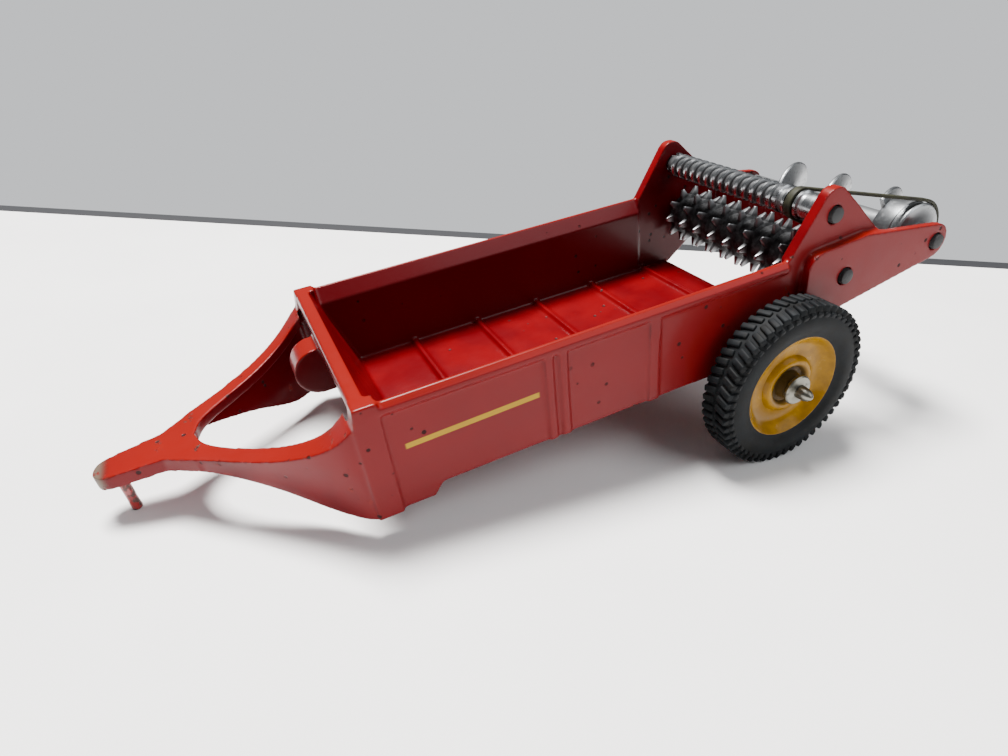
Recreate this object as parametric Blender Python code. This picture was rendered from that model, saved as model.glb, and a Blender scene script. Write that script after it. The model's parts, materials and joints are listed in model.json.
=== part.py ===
"""Die-cast toy manure spreader, parked on its two wheels and its hitch pin.

Sizes are in millimetres in the casting's own frame: X forward to the tongue, Y to the left, Z up square
to the floor, with x = 0 at the front of the headboard's rail and z = 0 under the floor. The fittings at
the back are placed from the rear end of the sides. The whole model hangs on one empty that is pitched
nose-down until the tyres and the hitch pin touch the same level surface.
"""

from math import asin, atan2, cos, hypot, pi, radians, sin, tau

import bmesh
import bpy
from mathutils import Matrix, Vector

MM = 0.001
FIT = 0.15              # gap between two pieces that meet
JOIN = 0.4              # overlap of two shapes that are fused into one piece

# load box
HALF_WIDTH = 18.15      # to the outer edge of the rail
SIDE_HEIGHT = 14.2
SIDE_LENGTH = 59.6
SIDE_WALL = 2.0
PANEL_INSET = 0.4       # how far the panel lies inside the rail's edge
PANEL_BOTTOM = 0.5
RAIL_DEPTH = 1.3        # straight outer band of the rail
RAIL_CHAMFER = 0.7
RAIL_BEVEL = (1.3, 2.3)  # inner bevel, across and down
FLOOR_OVERHANG = 6.4    # how far the floor runs on behind the sides
FLOOR_THICK = 1.2
SLAT_FIRST = 15.7       # from the headboard's front to the first slat
SLAT_PITCH = 11.2
SLAT_WIDTH = 1.3
SLAT_RISE = 0.55
SLAT_MARGIN = 4.0       # least floor left behind the last slat

PANEL_Y = HALF_WIDTH - PANEL_INSET
INNER_Y = PANEL_Y - SIDE_WALL
REAR = -SIDE_LENGTH
FLOOR_REAR = REAR - FLOOR_OVERHANG

# headboard and the half-round housing ahead of it
HEAD_RISE = 0.3         # how far its rail stands above the side rails
HEAD_RAIL = 1.7
HEAD_RAIL_DROP = 2.1
HEAD_LIP = 0.1
HEAD_EDGE = 0.3
HEAD_LEAN = 4.4         # how far its foot lies behind its top
HEAD_WALL = 2.5
HOUSING_RADIUS = 3.3
HOUSING_REACH = 4.0
HOUSING_Y = (-6.2, -1.9)

HEAD_TOP = SIDE_HEIGHT + HEAD_RISE
UNDER_RAIL = HEAD_TOP - HEAD_RAIL_DROP

# ribs on the outside of each side, as (front x, rear x)
POST = (0.4, -2.7)
POST_LEAN = 2.1         # height over which the post's front leans back to the rail
POST_BOTTOM = -1.4
CENTRE_RIBS = ((-22.6, -23.7), (-24.5, -25.6))
REAR_RIB = (-37.4, -39.0)
RIB_PROUD = 0.35
SKIRT_FOOT = (-6.8, -1.2)   # rear end of the side's deep front part, at its foot
SKIRT_HEAD = -8.2           # and where that end meets the panel
SKIRT_INSET = 0.05

# drawbar arm, from the tongue to the box's corner: distance ahead of the post, share of the way out,
# crease height, width of the top flange, lean of the web's foot, height of the foot
ARM_STATIONS = (
    (16.8, 0.0, 7.2, 5.9, 0.3, 5.0),
    (16.35, 0.03, 7.2, 4.35, 0.45, 4.9),
    (15.35, 0.093, 7.2, 3.5, 0.7, 4.6),
    (12.65, 0.271, 7.25, 3.1, 1.1, 3.7),
    (8.45, 0.551, 7.6, 3.2, 1.6, 1.8),
    (5.05, 0.763, 8.6, 3.3, 1.8, -0.6),
    (2.65, 0.915, 9.8, 3.6, 1.4, -1.3),
    (1.15, 0.983, 11.0, 3.9, 0.6, -1.4),
    (0.0, 1.0, 12.0, 4.2, 0.1, -1.4),
)
ARM_SPREAD = 0.35       # how far the arm's rear end lies inside the rail's edge
DRAWBAR_WALL = 1.5
DRAWBAR_RIDGE = 0.2     # least width of the underside beside the web

# tongue and hitch pin
TONGUE_LENGTH = 11.9
TONGUE_ROOT = 6.0       # half width where it meets the arms
TONGUE_NECK = (3.8, 3.05)   # distance ahead of the root, half width
TONGUE_TIP_RADIUS = 2.3
TONGUE_THICK = 1.9
TONGUE_DROP = 0.9       # how much lower the tip is than the root
PIN_BACK = 2.5          # from the tip
PIN_RADIUS = 0.65
PIN_LENGTH = 4.9

ARM_REAR = POST[0] + FIT
ROOT_X = ARM_REAR + ARM_STATIONS[0][0] + FIT
ROOT_Z = ARM_STATIONS[0][2]
TIP_X = ROOT_X + TONGUE_LENGTH
PIN_X = TIP_X - PIN_BACK

# rear plates and bearings, as (x, z)
UPPER_AXIS = (REAR - 7.2, 18.9)
LOWER_AXIS = (REAR - 9.5, 9.95)
AUGER_AXIS = (REAR - 27.5, 10.25)
CHEEK_THINNER = 0.4     # a cheek is this much thinner than a side wall
CHEEK_THICK = SIDE_WALL - CHEEK_THINNER
CHEEK_PEAK = (REAR - 7.0, 20.35)
CHEEK_TOP_RADIUS = 2.3
CHEEK_SLOPE_END = (REAR - 16.6, 14.3)
CHEEK_REAR = REAR - 19.0
CHEEK_HEEL = 5.6        # height of its rear lower corner
CHEEK_KNEE = (REAR - 11.9, 4.4)
CHEEK_TOE = REAR - 6.6
REAR_ARM_THICK = 1.3
REAR_ARM_SHOULDER = (REAR - 4.8, 12.35)
REAR_ARM_CROWN = (REAR - 12.8, 15.15)
REAR_ARM_END = (REAR - 27.1, 10.3)
REAR_ARM_HEEL = (REAR - 5.4, 7.4)
REAR_ARM_RADII = (2.4, 2.65, 3.0)   # shoulder, end, heel
GUARD_X = (REAR - 18.6, REAR - 17.4)
GUARD_Z = (4.8, 12.6)
GUARD_NOTCH = (3.2, 8.2)    # width, height of its floor

CHEEK_INNER = PANEL_Y - CHEEK_THICK
ARM_INNER = PANEL_Y + FIT
ARM_OUTER = ARM_INNER + REAR_ARM_THICK

# shafts, beaters and the auger
SHAFT_RADIUS = 1.1
SHAFT_PROUD = 0.5
BEATER_GAP = 0.35       # between a beater's end and the plate beside it
UPPER_RADIUS = 1.95
UPPER_CORE = 1.5
UPPER_THREADS = 14
THREAD_SHAPE = (0.25, 0.6, 0.85)    # where each thread reaches full height, leaves it and ends
PULLEY_INSET = 4.3      # from the beater's left end to the belt
PULLEY_RADIUS = 1.7
PULLEY_FLANGE = (0.35, 0.6)     # height, thickness
PULLEY_PLAY = 0.2
PULLEY_NECK = 2.0       # plain neck between the threads and the pulley
LOWER_RADIUS = 4.9
LOWER_CORE = 2.6
LOWER_VALLEY = 3.1
LOWER_ROWS = 9
LOWER_ROW_INSET = 1.5
LOWER_ROW_THICK = 0.9
LOWER_TIP_SHARE = 0.4   # thickness at a tooth's tip, as a share of the row's
LOWER_TEETH = 10
AUGER_RADIUS = 5.9
AUGER_CORE = 1.9
AUGER_BLADE = 0.8
AUGER_SUNK = 0.6        # how deep the blade is rooted in the core
AUGER_PITCH = 9.5
AUGER_START = 1.15      # from the auger's right end to the blade
AUGER_CREST = 9.05      # from the auger's right end to where the blade first stands straight up
DRUM_RADIUS = 4.7
DRUM_WIDTH = 4.5
DRUM_INSET = 1.65       # from the auger's left end
DRUM_EDGE = 0.4
DRUM_BELT = 0.8         # from the drum's outer end to the belt

BEATER_END = CHEEK_INNER - BEATER_GAP
AUGER_END = ARM_INNER - BEATER_GAP
PULLEY_Y = BEATER_END - PULLEY_INSET
DRUM_OUTER = AUGER_END - DRUM_INSET
DRUM_INNER = DRUM_OUTER - DRUM_WIDTH
DRUM_BELT_Y = DRUM_OUTER - DRUM_BELT

# belt
BELT_THICK = 0.45
BELT_WIDTH = 1.1
BELT_FIT = 0.12

# wheels and axle
AXLE_RADIUS = 1.05
AXLE_DROP = 0.2         # between the floor's underside and the axle
AXLE_PLAY = 0.15
WHEEL_X = REAR + 2.8
WHEEL_CLEARANCE = 0.3   # between the rear arm and the tyre
TYRE_RADIUS = 12.1
TYRE_WIDTH = 5.1
TYRE_SHOULDER = (0.9, 1.0)  # across, down
TYRE_BULGE = (0.1, 1.2)     # side wall's slope and where it starts above the bead
TYRE_BEAD = 0.3
HUB_RADIUS = 8.05
HUB_WELL = 1.15         # depth of the tyre's seat
HUB_INSET = 0.5         # hub's faces from the tyre's side walls
HUB_FLANGE = 1.0
HUB_RIM = 0.6
HUB_DISH = (1.4, 2.0)   # depth, width of its slope
HUB_RING = (4.0, 3.6, 2.8, 2.6)     # radii of the raised ring, from its outer foot inwards
HUB_RING_RISE = 0.7
HUB_RING_FLOOR = 1.1
HUB_COLLAR = 1.8
HUB_COLLAR_RISE = 0.1
HUB_BACK = (7.4, 6.4, 3.0, 2.4)     # radii of the back: rim, web, boss foot, boss
HUB_BACK_DEPTH = 1.1
WASHER_GAP = 0.2
WASHER_RADIUS = 1.9
WASHER_THICK = 0.6
AXLE_TIP = 2.3
AXLE_TAPER = ((0.0, 0.9), (0.55, 0.85), (0.9, 0.35))    # share of the tip's length, share of the radius
LUG_LENGTH = 5.0
LUG_INSET = 0.45        # from the inner face of the side
LUG_WIDTH = 3.1
LUG_BOTTOM = -3.4

WHEEL_Z = -AXLE_DROP - AXLE_RADIUS
TYRE_INNER = ARM_OUTER + WHEEL_CLEARANCE
TYRE_OUTER = TYRE_INNER + TYRE_WIDTH
HUB_FACE = TYRE_OUTER - HUB_INSET
WHEEL_MIDDLE = (TYRE_INNER + TYRE_OUTER) / 2


def clear_scene():
    for item in list(bpy.data.objects):
        bpy.data.objects.remove(item, do_unlink=True)


def material(name, colour, roughness, metallic):
    made = bpy.data.materials.new(name)
    made.use_nodes = True
    shader = made.node_tree.nodes["Principled BSDF"]
    shader.inputs["Base Color"].default_value = (*colour, 1.0)
    shader.inputs["Roughness"].default_value = roughness
    shader.inputs["Metallic"].default_value = metallic
    return made


def make_materials():
    return {
        "red": material("red_enamel", (0.42, 0.025, 0.02), 0.35, 0.0),
        "yellow": material("yellow_enamel", (0.62, 0.33, 0.03), 0.3, 0.0),
        "rubber": material("black_rubber", (0.02, 0.021, 0.023), 0.7, 0.0),
        "silver": material("bright_metal", (0.55, 0.56, 0.57), 0.3, 1.0),
        "steel": material("dark_steel", (0.22, 0.22, 0.22), 0.4, 1.0),
        "band": material("band_rubber", (0.09, 0.085, 0.05), 0.65, 0.0),
    }


def sized(points):
    return [Vector(point) * MM for point in points]


def body_from(faces_of, name, finish, parent, pivot=(0.0, 0.0, 0.0)):
    """One named object from a bmesh that faces_of fills; pivot is its origin in millimetres."""
    mesh = bpy.data.meshes.new(name)
    work = bmesh.new()
    faces_of(work)
    bmesh.ops.recalc_face_normals(work, faces=work.faces)
    bmesh.ops.translate(work, verts=work.verts, vec=-Vector(pivot) * MM)
    work.to_mesh(mesh)
    work.free()
    mesh.materials.append(finish)
    mesh.shade_smooth()
    mesh.set_sharp_from_angle(angle=radians(35))
    made = bpy.data.objects.new(name, mesh)
    made.location = Vector(pivot) * MM
    made.parent = parent
    bpy.context.scene.collection.objects.link(made)
    return made


def loft(work, sections):
    """Skin closed sections of equal point count, with a face over each end."""
    rings = [[work.verts.new(point) for point in sized(section)] for section in sections]
    count = len(rings[0])
    for first, second in zip(rings, rings[1:]):
        for i in range(count):
            j = (i + 1) % count
            work.faces.new((first[i], first[j], second[j], second[i]))
    work.faces.new(rings[0])
    work.faces.new(rings[-1])


def prism_y(outline, start, end):
    """Outline of (x, z) points, drawn along Y."""
    def fill(work):
        loft(work, [[(x, y, z) for x, z in outline] for y in (start, end)])
    return fill


def prism_x(outline, start, end):
    """Outline of (y, z) points, drawn along X."""
    def fill(work):
        loft(work, [[(x, y, z) for y, z in outline] for x in (start, end)])
    return fill


def block(x_range, y_range, z_range):
    x0, x1 = x_range
    return prism_y([(x0, z_range[0]), (x1, z_range[0]), (x1, z_range[1]), (x0, z_range[1])], *y_range)


def turned(profile, axis, segments):
    """Profile of (y, radius) points spun round a line along Y through axis (x, z).

    A profile that starts and ends off the axis is closed into a ring; one that starts and ends with
    radius 0 is a solid bar.
    """
    def fill(work):
        solid = profile[0][1] == 0.0
        rows = profile[1:-1] if solid else profile
        rings = []
        for y, radius in rows:
            ring = []
            for k in range(segments):
                angle = tau * k / segments
                x = axis[0] + radius * cos(angle)
                z = axis[1] + radius * sin(angle)
                ring.append(work.verts.new(Vector((x, y, z)) * MM))
            rings.append(ring)
        pairs = list(zip(rings, rings[1:]))
        if solid:
            ends = [work.verts.new(Vector((axis[0], y, axis[1])) * MM) for y, _ in (profile[0], profile[-1])]
            for ring, tip in zip((rings[0], rings[-1]), ends):
                for k in range(segments):
                    work.faces.new((ring[k], ring[(k + 1) % segments], tip))
        else:
            pairs.append((rings[-1], rings[0]))
        for first, second in pairs:
            for k in range(segments):
                m = (k + 1) % segments
                work.faces.new((first[k], first[m], second[m], second[k]))
    return fill


def bore(axis, radius, y_range):
    """Round cutter along Y that runs past both ends of y_range."""
    start, end = y_range[0] - 1.0, y_range[1] + 1.0
    return turned([(start, 0.0), (start, radius), (end, radius), (end, 0.0)], axis, 24)


def modify(target, tool_faces, name, operation):
    """Boolean of target with a hidden tool shape in the same frame."""
    tool = body_from(tool_faces, f"tool_{name}", target.data.materials[0], target.parent)
    tool.hide_render = True
    tool.display_type = "WIRE"
    cut = target.modifiers.new(name, "BOOLEAN")
    cut.operation = operation
    cut.solver = "EXACT"
    cut.object = tool


def arc(centre, radius, start, end, steps):
    return [(centre[0] + radius * cos(start + (end - start) * k / steps),
             centre[1] + radius * sin(start + (end - start) * k / steps)) for k in range(steps + 1)]


def link_angles(first, second):
    """Angle of the upper and lower tangent points on two circles ((x, z), radius)."""
    (ax, az), ra = first
    (bx, bz), rb = second
    heading = atan2(bz - az, bx - ax)
    spread = pi / 2 - asin((ra - rb) / hypot(bx - ax, bz - az))
    return heading - spread, heading + spread


def link_outline(front, rear, steps):
    """Tapered link round two circles; front lies ahead of rear."""
    upper, lower = link_angles(front, rear)
    return (arc(*front, lower - tau, upper, steps) + arc(*rear, upper, lower, steps))


def tangent_angle(point, centre, radius, side):
    """Angle on the circle where a line from point touches it."""
    dx, dz = point[0] - centre[0], point[1] - centre[1]
    return atan2(dz, dx) + side * (pi / 2 - asin(radius / hypot(dx, dz)))


def mirrored(outline, side):
    return [(side * y, z) for y, z in outline]


def span(side, near, far):
    """A Y range on the left (side 1) or the right (side -1)."""
    return (side * near, side * far)


def head_front(z):
    """Front face of the leaning headboard at height z."""
    return HEAD_LEAN * (z - UNDER_RAIL) / UNDER_RAIL


def make_floor(parent, finish):
    """Floor with its raised slats and the two lugs that carry the axle."""
    def front(z):
        return head_front(z) - HEAD_WALL - FIT

    outline = [(front(0.0), 0.0), (FLOOR_REAR, 0.0), (FLOOR_REAR, FLOOR_THICK)]
    slat_count = 1 + int((-FLOOR_REAR - SLAT_MARGIN - SLAT_FIRST) / SLAT_PITCH)
    half, top = SLAT_WIDTH / 2, FLOOR_THICK + SLAT_RISE
    for k in reversed(range(slat_count)):
        centre = -(SLAT_FIRST + SLAT_PITCH * k)
        outline += [(centre - half, FLOOR_THICK), (centre - half / 2, top),
                    (centre + half / 2, top), (centre + half, FLOOR_THICK)]
    outline.append((front(FLOOR_THICK), FLOOR_THICK))
    floor = body_from(prism_y(outline, -INNER_Y + FIT, INNER_Y - FIT), "floor", finish, parent)
    outer = INNER_Y - LUG_INSET
    for side, name in ((1, "left"), (-1, "right")):
        x_range = (WHEEL_X - LUG_LENGTH / 2, WHEEL_X + LUG_LENGTH / 2)
        lug = block(x_range, span(side, outer - LUG_WIDTH, outer), (LUG_BOTTOM, FLOOR_THICK / 2))
        modify(floor, lug, f"{name}_lug", "UNION")
    modify(floor, bore((WHEEL_X, WHEEL_Z), AXLE_RADIUS + FIT, (-outer, outer)), "axle_bore", "DIFFERENCE")


def make_headboard(parent, finish):
    """Leaning front wall with its rail and, ahead of it, the half-round housing."""
    outline = [(head_front(0.0), 0.0), (head_front(UNDER_RAIL), UNDER_RAIL), (HEAD_LIP, UNDER_RAIL),
               (HEAD_LIP, HEAD_TOP - HEAD_EDGE), (HEAD_LIP - HEAD_EDGE, HEAD_TOP), (-HEAD_RAIL, HEAD_TOP),
               (-HEAD_WALL, UNDER_RAIL), (head_front(0.0) - HEAD_WALL, 0.0)]
    reach = INNER_Y - FIT
    body_from(prism_y(outline, -reach, reach), "headboard", finish, parent)

    high = UNDER_RAIL - FIT
    low = high - 2 * HOUSING_RADIUS
    nose = arc((HOUSING_REACH - HOUSING_RADIUS, high - HOUSING_RADIUS), HOUSING_RADIUS, -pi / 2, pi / 2, 20)
    outline = [(head_front(low) + FIT, low), *nose, (head_front(high) + FIT, high)]
    body_from(prism_y(outline, *HOUSING_Y), "front_housing", finish, parent)


def side_section(side):
    """Section of one side: plain panel with the rail along its top."""
    across, down = RAIL_BEVEL
    outline = [(INNER_Y, PANEL_BOTTOM), (INNER_Y, SIDE_HEIGHT - down), (INNER_Y + across, SIDE_HEIGHT),
               (HALF_WIDTH - RAIL_CHAMFER, SIDE_HEIGHT), (HALF_WIDTH, SIDE_HEIGHT - RAIL_CHAMFER),
               (HALF_WIDTH, SIDE_HEIGHT - RAIL_DEPTH), (PANEL_Y, SIDE_HEIGHT - RAIL_DEPTH - PANEL_INSET),
               (PANEL_Y, PANEL_BOTTOM)]
    return mirrored(outline, side)


def make_side(side, name, parent, finish):
    """Side wall with its rail, corner post, deep front skirt and outer ribs."""
    front, rear = POST
    wall = body_from(prism_x(side_section(side), rear + JOIN, REAR), f"{name}_side", finish, parent)
    post = prism_y([(front, POST_BOTTOM), (front, HEAD_TOP - POST_LEAN), (HEAD_LIP, HEAD_TOP),
                    (rear, HEAD_TOP), (rear, POST_BOTTOM)], *span(side, INNER_Y, PANEL_Y + RIB_PROUD))
    modify(wall, post, f"{name}_post", "UNION")
    foot_x, foot_z = SKIRT_FOOT
    skirt = prism_y([(rear + JOIN, foot_z), (foot_x, foot_z), (SKIRT_HEAD, PANEL_BOTTOM),
                     (SKIRT_HEAD, PANEL_BOTTOM + JOIN), (rear + JOIN, PANEL_BOTTOM + JOIN)],
                    *span(side, INNER_Y, PANEL_Y - SKIRT_INSET))
    modify(wall, skirt, f"{name}_skirt", "UNION")
    for k, rib_x in enumerate((*CENTRE_RIBS, REAR_RIB)):
        y_range = span(side, PANEL_Y - JOIN, PANEL_Y + RIB_PROUD)
        rib = block(rib_x, y_range, (PANEL_BOTTOM, SIDE_HEIGHT - RAIL_DEPTH))
        modify(wall, rib, f"{name}_rib_{k}", "UNION")


def make_drawbar_arm(side, name, parent, finish):
    """Angle-section arm: a flange on top and a web that leans in at its foot."""
    reach = HALF_WIDTH - ARM_SPREAD - TONGUE_ROOT
    sections = []
    for ahead, share, crease_z, flange, lean, foot_z in ARM_STATIONS:
        crease_y = TONGUE_ROOT + reach * share
        inner_y, foot_y = crease_y - flange, crease_y - lean
        under = crease_z - DRAWBAR_WALL
        section = [(crease_y, crease_z), (inner_y, crease_z), (inner_y, under),
                   (max(crease_y - DRAWBAR_WALL, inner_y + DRAWBAR_RIDGE), under),
                   (foot_y - DRAWBAR_WALL, foot_z), (foot_y, foot_z)]
        sections.append([(ARM_REAR + ahead, side * y, z) for y, z in section])
    body_from(lambda work: loft(work, sections), f"{name}_drawbar_arm", finish, parent)


def tongue_height(x):
    """Height of the tongue's top, which falls slightly towards the tip."""
    return ROOT_Z - TONGUE_DROP * (x - ROOT_X) / TONGUE_LENGTH


def pin_top():
    return tongue_height(PIN_X + PIN_RADIUS) - TONGUE_THICK - FIT


def make_tongue(parent, finish, steel):
    tip = arc((TIP_X - TONGUE_TIP_RADIUS, 0.0), TONGUE_TIP_RADIUS, -pi / 2, pi / 2, 12)
    neck_x, neck_y = ROOT_X + TONGUE_NECK[0], TONGUE_NECK[1]
    outline = [(ROOT_X, -TONGUE_ROOT), (neck_x, -neck_y), *tip, (neck_x, neck_y), (ROOT_X, TONGUE_ROOT)]
    sections = [[(x, y, tongue_height(x) - down) for x, y in outline] for down in (0.0, TONGUE_THICK)]
    body_from(lambda work: loft(work, sections), "tongue", finish, parent)

    rim = arc((PIN_X, 0.0), PIN_RADIUS, 0.0, tau, 16)[:-1]
    pin = [[(x, y, z) for x, y in rim] for z in (pin_top(), pin_top() - PIN_LENGTH)]
    body_from(lambda work: loft(work, pin), "hitch_pin", steel, parent)


def drill(target, name, axis):
    """Shaft hole through a plate."""
    modify(target, bore(axis, SHAFT_RADIUS + FIT, (-ARM_OUTER, ARM_OUTER)), name, "DIFFERENCE")


def rear_arm_outline():
    """Long plate: square-shouldered in front, slightly crowned on top, round at the auger's end."""
    shoulder, end, heel = REAR_ARM_RADII
    rise = tangent_angle(REAR_ARM_CROWN, REAR_ARM_SHOULDER, shoulder, -1) % tau
    fall = tangent_angle(REAR_ARM_CROWN, REAR_ARM_END, end, 1) % tau
    _, under = link_angles((REAR_ARM_HEEL, heel), (REAR_ARM_END, end))
    return [*arc(REAR_ARM_SHOULDER, shoulder, 0.0, rise, 8), REAR_ARM_CROWN,
            *arc(REAR_ARM_END, end, fall, under, 14), *arc(REAR_ARM_HEEL, heel, under, tau, 8)]


def cheek_outline():
    """Plate that carries the side's line up round the upper shaft and down behind the lower one."""
    front_x = REAR - FIT
    rise = tangent_angle((front_x, SIDE_HEIGHT), CHEEK_PEAK, CHEEK_TOP_RADIUS, 1)
    fall = tangent_angle(CHEEK_SLOPE_END, CHEEK_PEAK, CHEEK_TOP_RADIUS, -1) % tau
    rear_top = CHEEK_SLOPE_END[1] - (CHEEK_SLOPE_END[0] - CHEEK_REAR)
    return [(front_x, PANEL_BOTTOM), (front_x, SIDE_HEIGHT),
            *arc(CHEEK_PEAK, CHEEK_TOP_RADIUS, rise, fall, 14), CHEEK_SLOPE_END,
            (CHEEK_REAR, rear_top), (CHEEK_REAR, CHEEK_HEEL), CHEEK_KNEE, (CHEEK_TOE, PANEL_BOTTOM)]


def make_rear_plates(side, name, parent, finish):
    """Cheek that holds both beaters, and the arm outside it that carries the auger."""
    cheek = body_from(prism_y(cheek_outline(), *span(side, CHEEK_INNER, PANEL_Y)), f"{name}_cheek",
                      finish, parent)
    drill(cheek, f"{name}_upper_hole", UPPER_AXIS)
    drill(cheek, f"{name}_lower_hole", LOWER_AXIS)
    arm = body_from(prism_y(rear_arm_outline(), *span(side, ARM_INNER, ARM_OUTER)), f"{name}_rear_arm",
                    finish, parent)
    drill(arm, f"{name}_arm_hole", LOWER_AXIS)
    drill(arm, f"{name}_auger_hole", AUGER_AXIS)


def belt_y(x):
    """The belt runs askew, from the pulley's place to the drum's."""
    share = (x - UPPER_AXIS[0]) / (AUGER_AXIS[0] - UPPER_AXIS[0])
    return PULLEY_Y + (DRUM_BELT_Y - PULLEY_Y) * min(1.0, max(0.0, share))


def make_guard(parent, finish):
    """Cross plate between the cheeks, notched where the belt passes."""
    reach = CHEEK_INNER - FIT
    low, high = GUARD_Z
    width, notch_floor = GUARD_NOTCH
    middle = belt_y(sum(GUARD_X) / 2)
    near, far = middle - width / 2, middle + width / 2
    outline = [(-reach, low), (reach, low), (reach, high), (far, high), (far, notch_floor),
               (near, notch_floor), (near, high), (-reach, high)]
    body_from(prism_x(outline, *GUARD_X), "rear_guard", finish, parent)


def shaft_profile(core, outer_end):
    """Bar through both plates with the given body between them."""
    return [(-outer_end, 0.0), (-outer_end, SHAFT_RADIUS), *core,
            (outer_end, SHAFT_RADIUS), (outer_end, 0.0)]


def on_axis(axis):
    return (axis[0], 0.0, axis[1])


def make_upper_beater(parent, finish):
    """Fine-threaded roller with a pulley near its left end."""
    groove = BELT_WIDTH / 2 + PULLEY_PLAY
    rise, thick = PULLEY_FLANGE
    flange = PULLEY_RADIUS + rise
    pulley_start = PULLEY_Y - groove - thick
    thread_end = pulley_start - PULLEY_NECK
    pitch = (thread_end + BEATER_END) / UPPER_THREADS
    full, leave, root = THREAD_SHAPE
    core = [(-BEATER_END, SHAFT_RADIUS), (-BEATER_END, UPPER_CORE)]
    for k in range(UPPER_THREADS):
        y = pitch * k - BEATER_END
        core += [(y + pitch * full, UPPER_RADIUS), (y + pitch * leave, UPPER_RADIUS),
                 (y + pitch * root, UPPER_CORE)]
    core += [(pulley_start, UPPER_CORE), (pulley_start, flange),
             (PULLEY_Y - groove, flange), (PULLEY_Y - groove, PULLEY_RADIUS),
             (PULLEY_Y + groove, PULLEY_RADIUS), (PULLEY_Y + groove, flange),
             (PULLEY_Y + groove + thick, flange), (PULLEY_Y + groove + thick, UPPER_RADIUS),
             (BEATER_END, UPPER_RADIUS), (BEATER_END, SHAFT_RADIUS)]
    profile = shaft_profile(core, PANEL_Y + SHAFT_PROUD)
    body_from(turned(profile, UPPER_AXIS, 20), "upper_beater", finish, parent, pivot=on_axis(UPPER_AXIS))


def make_lower_beater(parent, finish):
    """Bar with rows of pointed teeth."""
    half = LOWER_ROW_THICK / 2
    tip_half = half * LOWER_TIP_SHARE
    outer_end = ARM_OUTER + SHAFT_PROUD
    reach = BEATER_END - LOWER_ROW_INSET
    rows = [(-outer_end, SHAFT_RADIUS, SHAFT_RADIUS), (-BEATER_END, SHAFT_RADIUS, SHAFT_RADIUS),
            (-BEATER_END, LOWER_CORE, LOWER_CORE)]
    for k in range(LOWER_ROWS):
        y = reach * (2 * k / (LOWER_ROWS - 1) - 1)
        rows += [(y - half, LOWER_CORE, LOWER_CORE), (y - tip_half, LOWER_RADIUS, LOWER_VALLEY),
                 (y + tip_half, LOWER_RADIUS, LOWER_VALLEY), (y + half, LOWER_CORE, LOWER_CORE)]
    rows += [(BEATER_END, LOWER_CORE, LOWER_CORE), (BEATER_END, SHAFT_RADIUS, SHAFT_RADIUS),
             (outer_end, SHAFT_RADIUS, SHAFT_RADIUS)]
    count = LOWER_TEETH * 2
    sections = []
    for y, tip, valley in rows:
        ring = []
        for k in range(count):
            radius = valley if k % 2 else tip
            angle = tau * k / count
            ring.append((LOWER_AXIS[0] + radius * cos(angle), y, LOWER_AXIS[1] + radius * sin(angle)))
        sections.append(ring)
    body_from(lambda work: loft(work, sections), "lower_beater", finish, parent, pivot=on_axis(LOWER_AXIS))


def auger_blade(work):
    """Helical blade, drawn as a flat bar that winds round the core, rearwards over the top as it runs
    to the right."""
    start = AUGER_START - AUGER_END
    run = DRUM_INNER + JOIN - start - AUGER_BLADE
    crest = AUGER_CREST - AUGER_END - AUGER_BLADE / 2
    steps = round(24 * run / AUGER_PITCH)
    root = AUGER_CORE - AUGER_SUNK
    sections = []
    for k in range(steps + 1):
        y = start + run * k / steps
        angle = pi / 2 - tau * (y - crest) / AUGER_PITCH
        corners = ((root, 0.0), (AUGER_RADIUS, 0.0), (AUGER_RADIUS, AUGER_BLADE), (root, AUGER_BLADE))
        across, up = cos(angle), sin(angle)
        sections.append([(AUGER_AXIS[0] + radius * across, y + shift, AUGER_AXIS[1] + radius * up)
                         for radius, shift in corners])
    loft(work, sections)


def make_auger(parent, finish):
    """Wide spreading auger: core bar, helical blade and the belt drum at its left end."""
    core = [(-AUGER_END, SHAFT_RADIUS), (-AUGER_END, AUGER_CORE), (DRUM_INNER, AUGER_CORE),
            (DRUM_INNER, DRUM_RADIUS - DRUM_EDGE), (DRUM_INNER + DRUM_EDGE, DRUM_RADIUS),
            (DRUM_OUTER - DRUM_EDGE, DRUM_RADIUS), (DRUM_OUTER, DRUM_RADIUS - DRUM_EDGE),
            (DRUM_OUTER, AUGER_CORE), (AUGER_END, AUGER_CORE), (AUGER_END, SHAFT_RADIUS)]
    profile = shaft_profile(core, ARM_OUTER + SHAFT_PROUD)
    auger = body_from(turned(profile, AUGER_AXIS, 28), "spreading_auger", finish, parent,
                      pivot=on_axis(AUGER_AXIS))
    modify(auger, auger_blade, "blade", "UNION")


def make_belt(parent, finish):
    """Closed band round the upper beater's pulley and the auger's drum."""
    loops = []
    for grow in (BELT_FIT, BELT_FIT + BELT_THICK):
        loops.append(link_outline((UPPER_AXIS, PULLEY_RADIUS + grow), (AUGER_AXIS, DRUM_RADIUS + grow), 20))
    inner, outer = loops
    half = BELT_WIDTH / 2

    def fill(work):
        rings = []
        for loop, offset in ((inner, -half), (inner, half), (outer, half), (outer, -half)):
            rings.append([work.verts.new(Vector((x, belt_y(x) + offset, z)) * MM) for x, z in loop])
        count = len(rings[0])
        for first, second in zip(rings, rings[1:] + rings[:1]):
            for k in range(count):
                m = (k + 1) % count
                work.faces.new((first[k], first[m], second[m], second[k]))
    body_from(fill, "beater_belt", finish, parent)


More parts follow.
